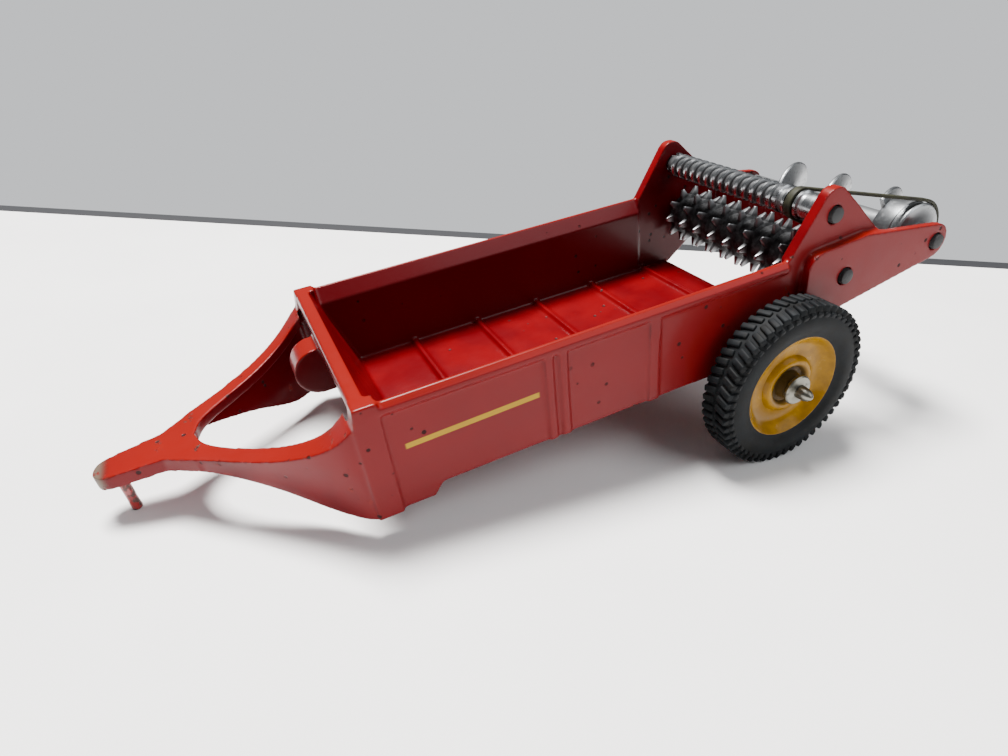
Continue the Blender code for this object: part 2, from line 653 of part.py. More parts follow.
def make_axle(parent, finish):
    """Bar under the floor with a washer and a peened, pointed end outside each hub."""
    face = HUB_FACE + HUB_COLLAR_RISE + WASHER_GAP
    outer = face + WASHER_THICK
    half = [(face, AXLE_RADIUS), (face, WASHER_RADIUS), (outer, WASHER_RADIUS)]
    half += [(outer + AXLE_TIP * along, AXLE_RADIUS * share) for along, share in AXLE_TAPER]
    half.append((outer + AXLE_TIP, 0.0))
    profile = [(-y, r) for y, r in reversed(half)] + half
    body_from(turned(profile, (WHEEL_X, WHEEL_Z), 20), "axle", finish, parent)


def hub_profile():
    """Section of the hub as (y, radius), from its bore round the back, the tyre's seat and the front."""
    back, seat = TYRE_INNER + HUB_INSET, HUB_RADIUS - HUB_WELL
    web = back + HUB_BACK_DEPTH
    rim_inner, web_outer, boss_foot, boss = HUB_BACK
    dish, slope = HUB_DISH
    ring_foot, ring_outer, ring_inner, ring_well = HUB_RING
    bore_radius = AXLE_RADIUS + AXLE_PLAY
    return [(back, bore_radius), (back, boss), (web, boss_foot), (web, web_outer), (back, rim_inner),
            (back, HUB_RADIUS), (back + HUB_FLANGE, HUB_RADIUS), (back + HUB_FLANGE, seat),
            (HUB_FACE - HUB_FLANGE, seat), (HUB_FACE - HUB_FLANGE, HUB_RADIUS), (HUB_FACE, HUB_RADIUS),
            (HUB_FACE, HUB_RADIUS - HUB_RIM), (HUB_FACE - dish, HUB_RADIUS - slope),
            (HUB_FACE - dish, ring_foot), (HUB_FACE - dish + HUB_RING_RISE, ring_outer),
            (HUB_FACE - dish + HUB_RING_RISE, ring_inner), (HUB_FACE - HUB_RING_FLOOR, ring_well),
            (HUB_FACE - HUB_RING_FLOOR, HUB_COLLAR), (HUB_FACE + HUB_COLLAR_RISE, HUB_COLLAR),
            (HUB_FACE + HUB_COLLAR_RISE, bore_radius)]


def tyre_profile():
    """Section of the tyre as (y, radius): a root in the hub's seat and a square-shouldered tread."""
    seat, flange = HUB_RADIUS - HUB_WELL + FIT, HUB_RADIUS + FIT
    start, end = TYRE_INNER + HUB_INSET + HUB_FLANGE + FIT, HUB_FACE - HUB_FLANGE - FIT
    across, down = TYRE_SHOULDER
    slope, bulge = TYRE_BULGE
    half = [(TYRE_BEAD, flange), (0.0, flange + bulge), (slope, TYRE_RADIUS - down), (across, TYRE_RADIUS)]
    return [(start, seat), (start, flange), *[(TYRE_INNER + y, r) for y, r in half],
            *[(TYRE_OUTER - y, r) for y, r in reversed(half)], (end, flange), (end, seat)]


def make_wheel(side, name, parent, hub_finish, tyre_finish):
    """Dished hub with a groove, and the tyre that sits in the groove."""
    axis, pivot = (WHEEL_X, WHEEL_Z), (WHEEL_X, side * WHEEL_MIDDLE, WHEEL_Z)
    pieces = (("hub", hub_profile(), hub_finish), ("tyre", tyre_profile(), tyre_finish))
    for piece, profile, finish in pieces:
        shape = turned([(side * y, r) for y, r in profile], axis, 44)
        body_from(shape, f"{name}_{piece}", finish, parent, pivot)


def ground_pitch():
    """Angle at which the tyres and the front edge of the hitch pin's foot stand on one level surface."""
    reach = (PIN_X + PIN_RADIUS - WHEEL_X, pin_top() - PIN_LENGTH - WHEEL_Z)
    return atan2(reach[1], reach[0]) + asin(TYRE_RADIUS / hypot(*reach))


def park(frame):
    """Pitch the model onto its wheels and pin, centred over the origin."""
    turn = Matrix.Rotation(ground_pitch(), 4, "Y")
    low, high = Vector((1.0, 1.0, 1.0)), Vector((-1.0, -1.0, -1.0))
    for item in frame.children:
        if item.hide_render:
            continue
        for vertex in item.data.vertices:
            place = turn @ (item.location + vertex.co)
            low = Vector(map(min, low, place))
            high = Vector(map(max, high, place))
    frame.matrix_world = Matrix.Translation((-(low.x + high.x) / 2, -(low.y + high.y) / 2, -low.z)) @ turn


def main():
    clear_scene()
    paint = make_materials()
    frame = bpy.data.objects.new("spreader_frame", None)
    bpy.context.scene.collection.objects.link(frame)
    make_floor(frame, paint["red"])
    make_headboard(frame, paint["red"])
    make_tongue(frame, paint["red"], paint["steel"])
    make_guard(frame, paint["red"])
    make_upper_beater(frame, paint["silver"])
    make_lower_beater(frame, paint["silver"])
    make_auger(frame, paint["silver"])
    make_belt(frame, paint["band"])
    make_axle(frame, paint["steel"])
    for side, name in ((1, "left"), (-1, "right")):
        make_side(side, name, frame, paint["red"])
        make_drawbar_arm(side, name, frame, paint["red"])
        make_rear_plates(side, name, frame, paint["red"])
        make_wheel(side, name, frame, paint["yellow"], paint["rubber"])
    park(frame)


main()
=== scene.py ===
import json
import math

import bpy
from mathutils import Matrix, Vector

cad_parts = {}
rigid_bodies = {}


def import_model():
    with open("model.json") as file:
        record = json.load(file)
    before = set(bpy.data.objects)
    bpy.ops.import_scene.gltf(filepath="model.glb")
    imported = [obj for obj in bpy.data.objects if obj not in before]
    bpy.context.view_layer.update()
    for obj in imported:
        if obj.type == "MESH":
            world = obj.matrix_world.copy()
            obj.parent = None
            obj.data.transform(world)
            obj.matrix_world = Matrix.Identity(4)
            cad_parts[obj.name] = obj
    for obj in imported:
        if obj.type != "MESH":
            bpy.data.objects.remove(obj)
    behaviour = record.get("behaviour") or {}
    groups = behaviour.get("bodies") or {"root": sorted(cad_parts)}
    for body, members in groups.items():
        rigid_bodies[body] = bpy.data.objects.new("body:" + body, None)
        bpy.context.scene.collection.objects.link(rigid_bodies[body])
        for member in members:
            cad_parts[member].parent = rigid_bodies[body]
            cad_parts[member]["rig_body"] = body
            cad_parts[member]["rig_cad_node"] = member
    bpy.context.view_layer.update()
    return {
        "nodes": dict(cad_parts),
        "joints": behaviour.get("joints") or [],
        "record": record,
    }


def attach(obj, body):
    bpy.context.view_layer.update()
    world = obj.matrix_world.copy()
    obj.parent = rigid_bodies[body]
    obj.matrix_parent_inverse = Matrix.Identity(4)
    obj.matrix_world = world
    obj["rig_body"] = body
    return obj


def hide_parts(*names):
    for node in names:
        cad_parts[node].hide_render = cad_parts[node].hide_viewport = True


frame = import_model()

mm = 0.001
turn = math.tau

# where the casting lies: its pieces are drawn level, in millimetres, then pitched with it

floorMount = next(m for m in frame["record"]["mounts"] if m["name"] == "box_floor")
castingUp = Vector(floorMount["axis"]).normalized()
castingForward = Vector((0, 1, 0)).cross(castingUp)
mountPlace = Vector((-32.5, 0, 1.2))    # the mount's own place on the box's floor
castingTurn = Matrix((castingForward, (0, 1, 0), castingUp)).transposed().to_4x4()
castingStart = Vector(floorMount["pos_m"]) - castingTurn @ (mountPlace * mm)
castingPlace = Matrix.Translation(castingStart) @ castingTurn
castingPitch = math.atan2(castingUp.x, castingUp.z)


jointPlace = {j["name"]: Vector(j["pos_m"]) for j in frame["joints"]}
shaftRadius = 1.1                       # of every roller's shaft
mergeGap = 1e-6


# modelling helpers

def clearSelection():
    if bpy.context.object and bpy.context.object.mode != "OBJECT":
        bpy.ops.object.mode_set(mode="OBJECT")
    bpy.ops.object.select_all(action="DESELECT")


def makeActive(piece):
    clearSelection()
    piece.select_set(True)
    bpy.context.view_layer.objects.active = piece


def modified(piece, kind, **settings):
    makeActive(piece)
    modifier = piece.modifiers.new(kind.lower(), kind)
    for name, value in settings.items():
        setattr(modifier, name, value)
    bpy.ops.object.modifier_apply(modifier=modifier.name)
    return piece


def cleaned(piece):
    makeActive(piece)
    bpy.ops.object.mode_set(mode="EDIT")
    bpy.ops.mesh.select_all(action="SELECT")
    bpy.ops.mesh.remove_doubles(threshold=mergeGap)
    bpy.ops.mesh.normals_make_consistent(inside=False)
    bpy.ops.object.mode_set(mode="OBJECT")
    return piece


def smoothed(piece, degrees=35):
    makeActive(piece)
    bpy.ops.object.shade_smooth_by_angle(angle=math.radians(degrees))
    return piece


def settled(piece):
    makeActive(piece)
    bpy.ops.object.transform_apply(location=True, rotation=True, scale=True)
    return piece


def joinedAs(name, pieces):
    clearSelection()
    for piece in pieces:
        piece.select_set(True)
    bpy.context.view_layer.objects.active = pieces[0]
    if len(pieces) > 1:
        bpy.ops.object.join()
    joined = bpy.context.object
    joined.name = name
    joined.data.name = name
    return joined


def copied(piece, matrix):
    twin = piece.copy()
    twin.data = piece.data.copy()
    bpy.context.scene.collection.objects.link(twin)
    twin.data.transform(matrix)
    return twin


def copiedNode(name, matrix):
    twin = copied(frame["nodes"][name], matrix)
    twin.parent = None
    twin.matrix_world = Matrix.Identity(4)
    twin.hide_render = twin.hide_viewport = False
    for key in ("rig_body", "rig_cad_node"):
        del twin[key]
    return cleaned(twin)


def removed(piece):
    bpy.data.objects.remove(piece, do_unlink=True)


def acrossCentre(joint):
    centre = jointPlace[joint].copy()
    centre.y = 0                        # the middle of a shaft that lies across the model
    return centre


def mirrored(half):
    return [(-y, r) for y, r in reversed(half)]


def turnedPiece(name, outline, centre, steps):
    # outline is (along the axle, radius) in millimetres, and the piece lies across the model
    clearSelection()
    points = [centre + Vector((0, y, r)) * mm for y, r in outline]
    bpy.ops.mesh.primitive_plane_add(size=mm * 0.01, location=points[0])
    piece = bpy.context.object
    bpy.ops.object.mode_set(mode="EDIT")
    bpy.ops.mesh.select_mode(type="VERT")
    bpy.ops.mesh.select_all(action="SELECT")
    bpy.ops.mesh.merge(type="CENTER")
    for start, end in zip(points, points[1:]):
        bpy.ops.mesh.extrude_region_move(TRANSFORM_OT_translate={"value": end - start})
    bpy.ops.mesh.select_all(action="SELECT")
    bpy.ops.mesh.spin(steps=steps, angle=turn, center=centre, axis=(0, 1, 0))
    bpy.ops.object.mode_set(mode="OBJECT")
    settled(piece)
    cleaned(piece)
    piece.name = name
    return smoothed(piece)


def woundPiece(name, section, centre, pitch, turns, hand, start, lift=0.0, stepsPerTurn=30):
    # section is a closed ring of (along the axle, radius), and winds round the axle from start
    clearSelection()
    bpy.ops.mesh.primitive_circle_add(vertices=len(section), radius=mm, location=centre)
    piece = bpy.context.object
    for vertex, (y, r) in zip(piece.data.vertices, section):
        vertex.co = Vector((0, (start + y) * mm, r * mm))
    piece.data.transform(Matrix.Rotation(lift, 4, "Y"))
    steps = round(stepsPerTurn * turns)
    modified(piece, "SCREW", axis="Y", angle=-hand * turn * turns, screw_offset=pitch * turns * mm,
             iterations=1, steps=steps, render_steps=steps, use_merge_vertices=False)
    bpy.ops.object.mode_set(mode="EDIT")
    bpy.ops.mesh.select_all(action="DESELECT")
    bpy.ops.mesh.select_mode(type="EDGE")
    bpy.ops.mesh.select_non_manifold(extend=False, use_wire=False, use_multi_face=False,
                                     use_non_contiguous=False, use_verts=False)
    bpy.ops.mesh.edge_face_add()
    bpy.ops.object.mode_set(mode="OBJECT")
    settled(piece)
    cleaned(piece)
    piece.name = name
    return smoothed(piece)


# finish helpers

class Value:
    # a shader socket that adds its own Math nodes
    def __init__(self, finish, socket):
        self.finish, self.socket = finish, socket

    def worked(self, operation, first, second=0.0, clamp=False):
        return self.finish.node("ShaderNodeMath", {"operation": operation, "use_clamp": clamp},
                                {0: first, 1: second})

    def __add__(self, other):
        return self.worked("ADD", self, other)

    __radd__ = __add__

    def __sub__(self, other):
        return self.worked("SUBTRACT", self, other)

    def __rsub__(self, other):
        return self.worked("SUBTRACT", other, self)

    def __mul__(self, other):
        return self.worked("MULTIPLY", self, other)

    __rmul__ = __mul__

    def orMore(self, other):
        return self.worked("MAXIMUM", self, other)

    def size(self):
        return self.worked("ABSOLUTE", self)

    def kept(self):
        return self.worked("ADD", self, 0.0, clamp=True)

    def rising(self, low, high):
        return self.finish.node("ShaderNodeMapRange", {"interpolation_type": "SMOOTHSTEP"},
                                {"Value": self, "From Min": low, "From Max": high})


class Finish:
    def __init__(self, name, **sockets):
        self.material = bpy.data.materials.new(name)
        self.material.use_nodes = True
        self.tree = self.material.node_tree
        self.shader = self.tree.nodes["Principled BSDF"]
        self.set(**sockets)

    def set(self, **sockets):
        for name, value in sockets.items():
            self.feed(self.shader, name.replace("_", " "), value)

    def feed(self, node, name, value):
        socket = node.inputs[name]
        if isinstance(value, Value):
            self.tree.links.new(value.socket, socket)
        elif isinstance(value, (tuple, list)) and len(value) == 3 and socket.type == "RGBA":
            socket.default_value = (*value, 1.0)
        else:
            socket.default_value = value

    def node(self, kind, settings=None, inputs=None, output=0):
        made = self.tree.nodes.new(kind)
        for name, value in (settings or {}).items():
            setattr(made, name, value)
        for name, value in (inputs or {}).items():
            self.feed(made, name, value)
        return Value(self, made.outputs[output])

    def place(self, turned=True):
        # millimetres, in the casting's own level frame or, unturned, in the model's
        start = castingTurn.inverted() @ castingStart * (-1 / mm) if turned else Vector((0, 0, 0))
        return self.node("ShaderNodeMapping", {"vector_type": "POINT"},
                         {"Vector": self.node("ShaderNodeTexCoord", output="Object"),
                          "Scale": (1 / mm, 1 / mm, 1 / mm), "Location": start,
                          "Rotation": (0, -castingPitch if turned else 0, 0)})

    def split(self, vector, axis):
        return self.node("ShaderNodeSeparateXYZ", None, {"Vector": vector}, "XYZ".index(axis))

    def noise(self, vector, scale, detail=4, roughness=0.55):
        return self.node("ShaderNodeTexNoise", None,
                         {"Vector": vector, "Scale": scale, "Detail": detail, "Roughness": roughness})

    def mixed(self, first, second, share):
        made = self.tree.nodes.new("ShaderNodeMix")
        made.data_type = "RGBA"
        for index, value in ((0, share), (6, first), (7, second)):
            self.feed(made, index, value)
        return Value(self, made.outputs[2])

    def bumped(self, height, distance, strength=1.0, normal=None):
        inputs = {"Height": height, "Distance": distance * mm, "Strength": strength}
        if normal is not None:
            inputs["Normal"] = normal
        return self.node("ShaderNodeBump", None, inputs)


# the casting's red enamel

enamelColours = {
    "deep": (0.085, 0.000, 0.002), "bright": (0.124, 0.000, 0.002), "orange": (0.168, 0.005, 0.002),
    "paintedFloorSheen": (0.145, 0.003, 0.004), "inside": (0.074, 0.000, 0.002), "grimeAndShade": (0.014, 0.002, 0.002),
    "metal": (0.120, 0.095, 0.070), "stripe": (0.42, 0.27, 0.004),
}
enamelWear = {
    # above these heights, upward faces get the painted orange highlight
    "lifted": (4.5, 7.0),                                   # heights between which tops turn orange
    "outer": (14.0, 16.0),                                  # how far out the outer sides begin
    "ridge": (0.515, 0.57), "valley": (0.43, 0.49),         # how sharp an edge or a corner is
    "edgeChips": (0.55, 0.59), "flatChips": (0.70, 0.715),
    "dots": (0.10, 0.15), "dotPatches": (0.50, 0.56),
    "tip": (27.2, 28.8), "tipEdges": (25.0, 28.0), "tipPatches": (0.38, 0.46),
}
stripe = {"height": 7.4, "slope": 0.02, "halfWidth": 0.30, "fade": 0.12, "start": -21.8, "end": -4.5,
          "blur": 0.3}


def redEnamel():
    paint = Finish("redEnamel", Coat_Roughness=0.12, IOR=1.5, Specular_IOR_Level=0.14)
    spot = paint.place()
    x, y, z = (paint.split(spot, axis) for axis in "XYZ")
    normal = paint.node("ShaderNodeNewGeometry", output="Normal")
    sideways = paint.split(normal, "Y")
    facingUp = paint.split(normal, "Z").rising(0.45, 0.85)
    facingOut = sideways.rising(0.6, 0.9) * y.rising(*enamelWear["outer"])
    facingOut = facingOut.orMore((sideways * -1).rising(0.6, 0.9) * (y * -1).rising(*enamelWear["outer"]))
    lifted = z.rising(*enamelWear["lifted"])
    patches = paint.noise(spot, 0.10, 3)
    cloud = paint.noise(spot, 0.45, 5)
    fine = paint.noise(spot, 2.6, 4)
    edge = paint.node("ShaderNodeNewGeometry", output="Pointiness")
    ridge = edge.rising(*enamelWear["ridge"])
    valley = 1 - edge.rising(*enamelWear["valley"])

    colour = paint.mixed(enamelColours["deep"], enamelColours["bright"], patches.rising(0.35, 0.65))
    # painted highlight: upward faces high on the casting turn orange, as if lit from above
    colour = paint.mixed(colour, enamelColours["orange"], facingUp * lifted * 0.8)
    # painted reflection: the outer sides turn pinkish, as they would mirror the pale floor
    colour = paint.mixed(colour, enamelColours["paintedFloorSheen"], facingOut * (0.55 + 0.35 * cloud))
    # painted shade: the walls that look inwards are darkened, as the box shades them
    paintedShadeWalls = (sideways * y * -1).rising(0.8, 1.6) * sideways.size().rising(0.55, 0.8)
    colour = paint.mixed(colour, enamelColours["inside"], paintedShadeWalls * 0.85)
    # painted highlight: sharp edges turn lighter orange
    colour = paint.mixed(colour, enamelColours["orange"], ridge * 0.55)
    # painted shade: concave corners darken in patches
    colour = paint.mixed(colour, enamelColours["grimeAndShade"], valley * cloud.rising(0.35, 0.7) * 0.55)

    # a plain faded yellow stripe on the outer sides
    level = z - stripe["height"] + x * stripe["slope"]
    band = 1 - level.size().rising(stripe["halfWidth"], stripe["halfWidth"] + stripe["fade"])
    band = band * x.rising(stripe["start"], stripe["start"] + stripe["blur"])
    band = band * (1 - x.rising(stripe["end"] - stripe["blur"], stripe["end"])) * facingOut
    colour = paint.mixed(colour, enamelColours["stripe"], band * (0.62 + 0.3 * patches))

    # many small chips along the edges, a few on the flats, and a tongue worn bare at its tip
    chipNoise = paint.noise(spot, 0.9, 6, 0.72)
    chips = ridge * chipNoise.rising(*enamelWear["edgeChips"])
    chips = chips.orMore(chipNoise.rising(*enamelWear["flatChips"]))
    specks = paint.node("ShaderNodeTexVoronoi", {"feature": "F1"},
                        {"Vector": spot, "Scale": 0.42, "Randomness": 1.0})
    dots = (1 - specks.rising(*enamelWear["dots"])) * patches.rising(*enamelWear["dotPatches"])
    chips = chips.orMore(dots).kept()
    tipWear = x.rising(*enamelWear["tip"]).orMore(ridge * x.rising(*enamelWear["tipEdges"]))
    tipWear = tipWear * paint.noise(spot, 0.8, 5, 0.7).rising(*enamelWear["tipPatches"])
    bare = paint.mixed(enamelColours["grimeAndShade"], enamelColours["metal"],
                       tipWear.orMore(ridge * fine.rising(0.45, 0.6) * 0.35))
    worn = chips.orMore(tipWear)
    colour = paint.mixed(colour, bare, worn * 0.92)

    ripple = paint.bumped(cloud, 0.05, 0.35)
    paint.set(Base_Color=colour, Roughness=0.24 + 0.14 * cloud + 0.16 * facingOut + 0.2 * worn,
              Coat_Weight=0.06 - 0.06 * worn, Metallic=tipWear * 0.5,
              Normal=paint.bumped((1 - worn) + fine * 0.12, 0.05, 0.8, ripple))
    return paint.material


# the hitch pin's worn paint

pinFinish = {"paint": (0.28, 0.012, 0.012), "bare": (0.10, 0.055, 0.05), "wornBelow": (-2.4, -0.4)}


def pinSteel():
    paint = Finish("wornRedSteel", Coat_Roughness=0.2)
    spot = paint.place()
    low = 1 - paint.split(spot, "Z").rising(*pinFinish["wornBelow"])
    wear = paint.noise(spot, 0.9, 5, 0.7).rising(0.50, 0.58)
    wear = wear.orMore(low * paint.noise(spot, 2.0, 4).rising(0.4, 0.55)).kept()
    paint.set(Base_Color=paint.mixed(pinFinish["paint"], pinFinish["bare"], wear), Metallic=wear * 0.6,
              Roughness=0.3 + 0.2 * wear, Coat_Weight=0.4 - 0.4 * wear,
              Normal=paint.bumped(1 - wear, 0.04, 0.8))
    return paint.material


def fromAxle(paint, spot, centre):
    # distance in millimetres from an axle that lies across the model
    away = paint.node("ShaderNodeVectorMath", {"operation": "SUBTRACT"},
                      {0: spot, 1: (centre.x / mm, 0, centre.z / mm)})
    flat = paint.node("ShaderNodeVectorMath", {"operation": "MULTIPLY"}, {0: away, 1: (1, 0, 1)})
    return paint.node("ShaderNodeVectorMath", {"operation": "LENGTH"}, {0: flat}, "Value")


# the hubs' yellow enamel, with grease and painted shade round the axle, and darker at the rim

hubFinish = {"dark": (0.19, 0.090, 0.000), "light": (0.26, 0.128, 0.000), "greaseAndShade": (0.022, 0.014, 0.006),
             "greaseAndShadeRing": (2.5, 3.5), "rim": (7.5, 8.0)}


def hubEnamel(centre):
    paint = Finish("yellowEnamel", Coat_Roughness=0.08, Specular_IOR_Level=0.1)
    spot = paint.place(turned=False)
    radius = fromAxle(paint, spot, centre)
    cloud = paint.noise(spot, 0.5, 5)
    fine = paint.noise(spot, 3.0, 4, 0.6)
    colour = paint.mixed(hubFinish["dark"], hubFinish["light"], cloud.rising(0.35, 0.65))
    # grease and painted shade round the axle by the washer, and darker patches at the rim
    dirtAndShade = (1 - radius.rising(*hubFinish["greaseAndShadeRing"])) * cloud.rising(0.25, 0.5)
    dirtAndShade = dirtAndShade.orMore(radius.rising(*hubFinish["rim"]) * fine.rising(0.45, 0.6) * 0.7)
    grimeAndShade = dirtAndShade.orMore(paint.noise(spot, 1.6, 5, 0.75).rising(0.66, 0.69)).kept()
    paint.set(Base_Color=paint.mixed(colour, hubFinish["greaseAndShade"], grimeAndShade * 0.88),
              Roughness=0.2 + 0.12 * cloud + 0.3 * grimeAndShade, Coat_Weight=0.05 - 0.05 * grimeAndShade,
              Normal=paint.bumped(cloud + fine * 0.15 - grimeAndShade * 0.5, 0.04, 0.5))
    return paint.material


# rubber: the tyres, with a little dust, and the olive belt

tyreColours = {"dark": (0.003, 0.0035, 0.004), "light": (0.008, 0.0095, 0.011), "dust": (0.06, 0.05, 0.035)}
bandColours = {"dark": (0.010, 0.010, 0.006), "light": (0.026, 0.026, 0.013)}


def tyreRubber():
    rubber = Finish("tyreRubber", IOR=1.48, Specular_IOR_Level=0.10)
    spot = rubber.place(turned=False)
    cloud = rubber.noise(spot, 0.35, 5)
    fine = rubber.noise(spot, 5.0, 4, 0.65)
    dust = rubber.noise(spot, 0.8, 6, 0.7).rising(0.45, 0.75)
    colour = rubber.mixed(tyreColours["dark"], tyreColours["light"], cloud.rising(0.3, 0.7))
    colour = rubber.mixed(colour, tyreColours["dust"], dust * 0.10)
    rubber.set(Base_Color=colour, Roughness=0.5 + 0.2 * cloud + 0.1 * dust,
               Normal=rubber.bumped(fine * 0.6 + cloud, 0.05, 0.5))
    return rubber.material


def bandRubber():
    band = Finish("bandRubber", Specular_IOR_Level=0.2)
    spot = band.place()
    cloud = band.noise(spot, 0.9, 5)
    fine = band.noise(spot, 6.0, 3)
    band.set(Base_Color=band.mixed(bandColours["dark"], bandColours["light"], cloud.rising(0.3, 0.7)),
             Roughness=0.5 + 0.2 * cloud, Normal=band.bumped(fine, 0.03, 0.4))
    return band.material


# bright metal: painted shade darkens each roller from its hollow's first radius out to the second

axleMetal = {"light": (0.17, 0.165, 0.14), "dark": (0.030, 0.028, 0.022), "rough": 0.30, "tarnish": 0.7}
rollerColours = {"light": (0.30, 0.31, 0.32), "dark": (0.014, 0.014, 0.015), "ends": 0.97}
rollerMetals = {
    "upper_beater": {"finish": "threadedMetal", "rough": 0.22, "tarnish": 0.4, "hollow": (1.45, 1.85),
                     "depth": 0.8},
    "lower_beater": {"finish": "toothedMetal", "rough": 0.24, "tarnish": 0.5, "hollow": (3.3, 4.6),
                     "depth": 0.95},
    "auger": {"finish": "augerMetal", "rough": 0.28, "tarnish": 0.6, "hollow": (2.2, 4.4), "depth": 0.6},
}


def brightMetal(name, light, dark, rough, tarnish, ends=0.0, centre=None, hollow=None, depth=0.0):
    metal = Finish(name, Specular_IOR_Level=0.25)
    spot = metal.place(turned=False)
    cloud = metal.noise(spot, 1.1, 5)
    fine = metal.noise(spot, 6.0, 4, 0.6)
    shaftEnds = metal.split(spot, "Y").size().rising(17.0, 17.6) * ends
    tarnishAndShade = shaftEnds.orMore(cloud.rising(0.52, 0.75) * tarnish)
    if centre is not None:
        radius = fromAxle(metal, spot, centre)
        # painted shade in the roller's hollow, fading out towards its outer radius
        tarnishAndShade = tarnishAndShade.orMore((1 - radius.rising(*hollow)) * depth * (0.7 + 0.6 * cloud))
    tarnishAndShade = tarnishAndShade.kept()
    metal.set(Base_Color=metal.mixed(light, dark, tarnishAndShade), Metallic=1 - 0.55 * tarnishAndShade - 0.5 * shaftEnds,
              Roughness=rough + 0.1 * cloud + 0.3 * tarnishAndShade,
              Normal=metal.bumped(cloud + fine * 0.2, 0.02, 0.35))
    return metal.material


def rollerMetal(name):
    given = rollerMetals[name]
    return brightMetal(given["finish"], rollerColours["light"], rollerColours["dark"], given["rough"],
                       given["tarnish"], rollerColours["ends"], acrossCentre(name + "_spin"),
                       given["hollow"], given["depth"])


wheelCentre = acrossCentre("left_wheel_spin")
finishes = {
    "red_enamel": redEnamel(), "worn_red_steel": pinSteel(), "yellow_enamel": hubEnamel(wheelCentre),
    "tyre_rubber": tyreRubber(), "axle_steel": brightMetal("axleSteel", **axleMetal),
    "band_rubber": bandRubber(),
}
print("finishes made")


def placed(piece, slot, body, *nodes, finish=None):
    piece.data.materials.clear()
    piece.data.materials.append(finish or finishes[slot])
    for face in piece.data.polygons:
        face.material_index = 0
    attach(piece, body)
    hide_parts(*nodes)


# the red casting: its parts flow into each other with small fillets

casting = {"grain": 0.20, "fillet": 0.13, "smoothing": 5, "triangles": 170000}
castingNodes = ["floor", "headboard", "front_housing", "left_side", "right_side", "left_drawbar_arm",
                "right_drawbar_arm", "tongue", "left_cheek", "right_cheek", "left_rear_arm", "right_rear_arm",
                "rear_guard"]


def eased(part):
    # curves a piece along its length, and keeps its long edges crisp
    makeActive(part)
    bpy.ops.object.mode_set(mode="EDIT")
    bpy.ops.mesh.select_mode(type="EDGE")
    bpy.ops.mesh.select_all(action="SELECT")
    bpy.ops.mesh.tris_convert_to_quads(face_threshold=math.pi, shape_threshold=math.pi)
    bpy.ops.mesh.select_all(action="DESELECT")
    bpy.ops.mesh.edges_select_sharp(sharpness=math.radians(38))
    bpy.ops.transform.edge_crease(value=1)
    bpy.ops.object.mode_set(mode="OBJECT")
    modified(part, "SUBSURF", levels=2, render_levels=2)


def makeCasting():
    # grown, melted together, smoothed and shrunk back, so that the inner corners fill
    fillet, grain = casting["fillet"] * mm, casting["grain"] * 1
    parts = [copiedNode(name, castingPlace.inverted()) for name in castingNodes]
    for part in parts:
        if "drawbar" in part.name:
            eased(part)
        modified(part, "DISPLACE", strength=fillet, mid_level=0, direction="NORMAL")
    body = joinedAs("castingBody", parts)
    modified(body, "REMESH", mode="VOXEL", voxel_size=grain * mm, adaptivity=0)
    modified(body, "SMOOTH", factor=0.5, iterations=casting["smoothing"])
    modified(body, "DISPLACE", strength=-fillet, mid_level=0, direction="NORMAL")
    count = sum(len(face.vertices) - 2 for face in body.data.polygons)
    print("casting triangles", count)
    if count > casting["triangles"]:
        modified(body, "DECIMATE", ratio=casting["triangles"] / count)
    body.data.transform(castingPlace)
    makeActive(body)
    bpy.ops.object.shade_smooth()
    placed(body, "red_enamel", "casting", *castingNodes)


makeCasting()
print("casting made")

# hitch pin

hitchPin = {"radius": 0.65, "rim": 0.18, "seat": 0.3, "waistHeight": 1.6, "waistReach": 0.6, "waist": 0.93}


def makeHitchPin():
    vertices = frame["nodes"]["hitch_pin"].data.vertices
    points = [castingPlace.inverted() @ vertex.co / mm for vertex in vertices]
    x = (min(point.x for point in points) + max(point.x for point in points)) / 2
    bottom = min(point.z for point in points)
    top = max(point.z for point in points) + hitchPin["seat"]
    clearSelection()
    bpy.ops.mesh.primitive_cylinder_add(vertices=28, radius=hitchPin["radius"] * mm,
                                        depth=(top - bottom) * mm,
                                        location=(x * mm, 0, (top + bottom) / 2 * mm))
    pin = bpy.context.object
    settled(pin)
    modified(pin, "BEVEL", width=hitchPin["rim"] * mm, segments=3, limit_method="ANGLE")
    makeActive(pin)
    waist = bottom + hitchPin["waistHeight"]
    bpy.ops.object.mode_set(mode="EDIT")
    bpy.ops.mesh.select_all(action="SELECT")
    bpy.ops.mesh.bisect(plane_co=(x * mm, 0, waist * mm), plane_no=(0, 0, 1))
    bpy.ops.object.mode_set(mode="OBJECT")
    for vertex in pin.data.vertices:                        # a slight waist above the foot
        if abs(vertex.co.z / mm - waist) < hitchPin["waistReach"]:
            vertex.co.x = x * mm + (vertex.co.x - x * mm) * hitchPin["waist"]
            vertex.co.y *= hitchPin["waist"]
    pin.data.transform(castingPlace)
    pin.name = "hitchPin"
    smoothed(pin)
    placed(pin, "worn_red_steel", "casting", "hitch_pin")


makeHitchPin()

# wheels

tyre = {"inner": 19.5, "outer": 24.6, "radius": 12.1, "bead": 8.15, "lugs": 54, "lugHeight": 0.38,
        "lugRoot": 0.5, "lugLength": 2.2, "lugWidth": 1.1, "lugLean": 0.26, "lugTaper": (0.72, 0.9, 1),
        "lugBevel": 0.17, "rowGap": 0.12}
shoulder = {"inset": 0.48, "drop": 1.25, "lean": 0.42, "scale": (0.9, 0.42, 1.05, 1)}
hub = {"face": 24.1, "back": 20.0, "radius": 8.05, "dish": 1.5}


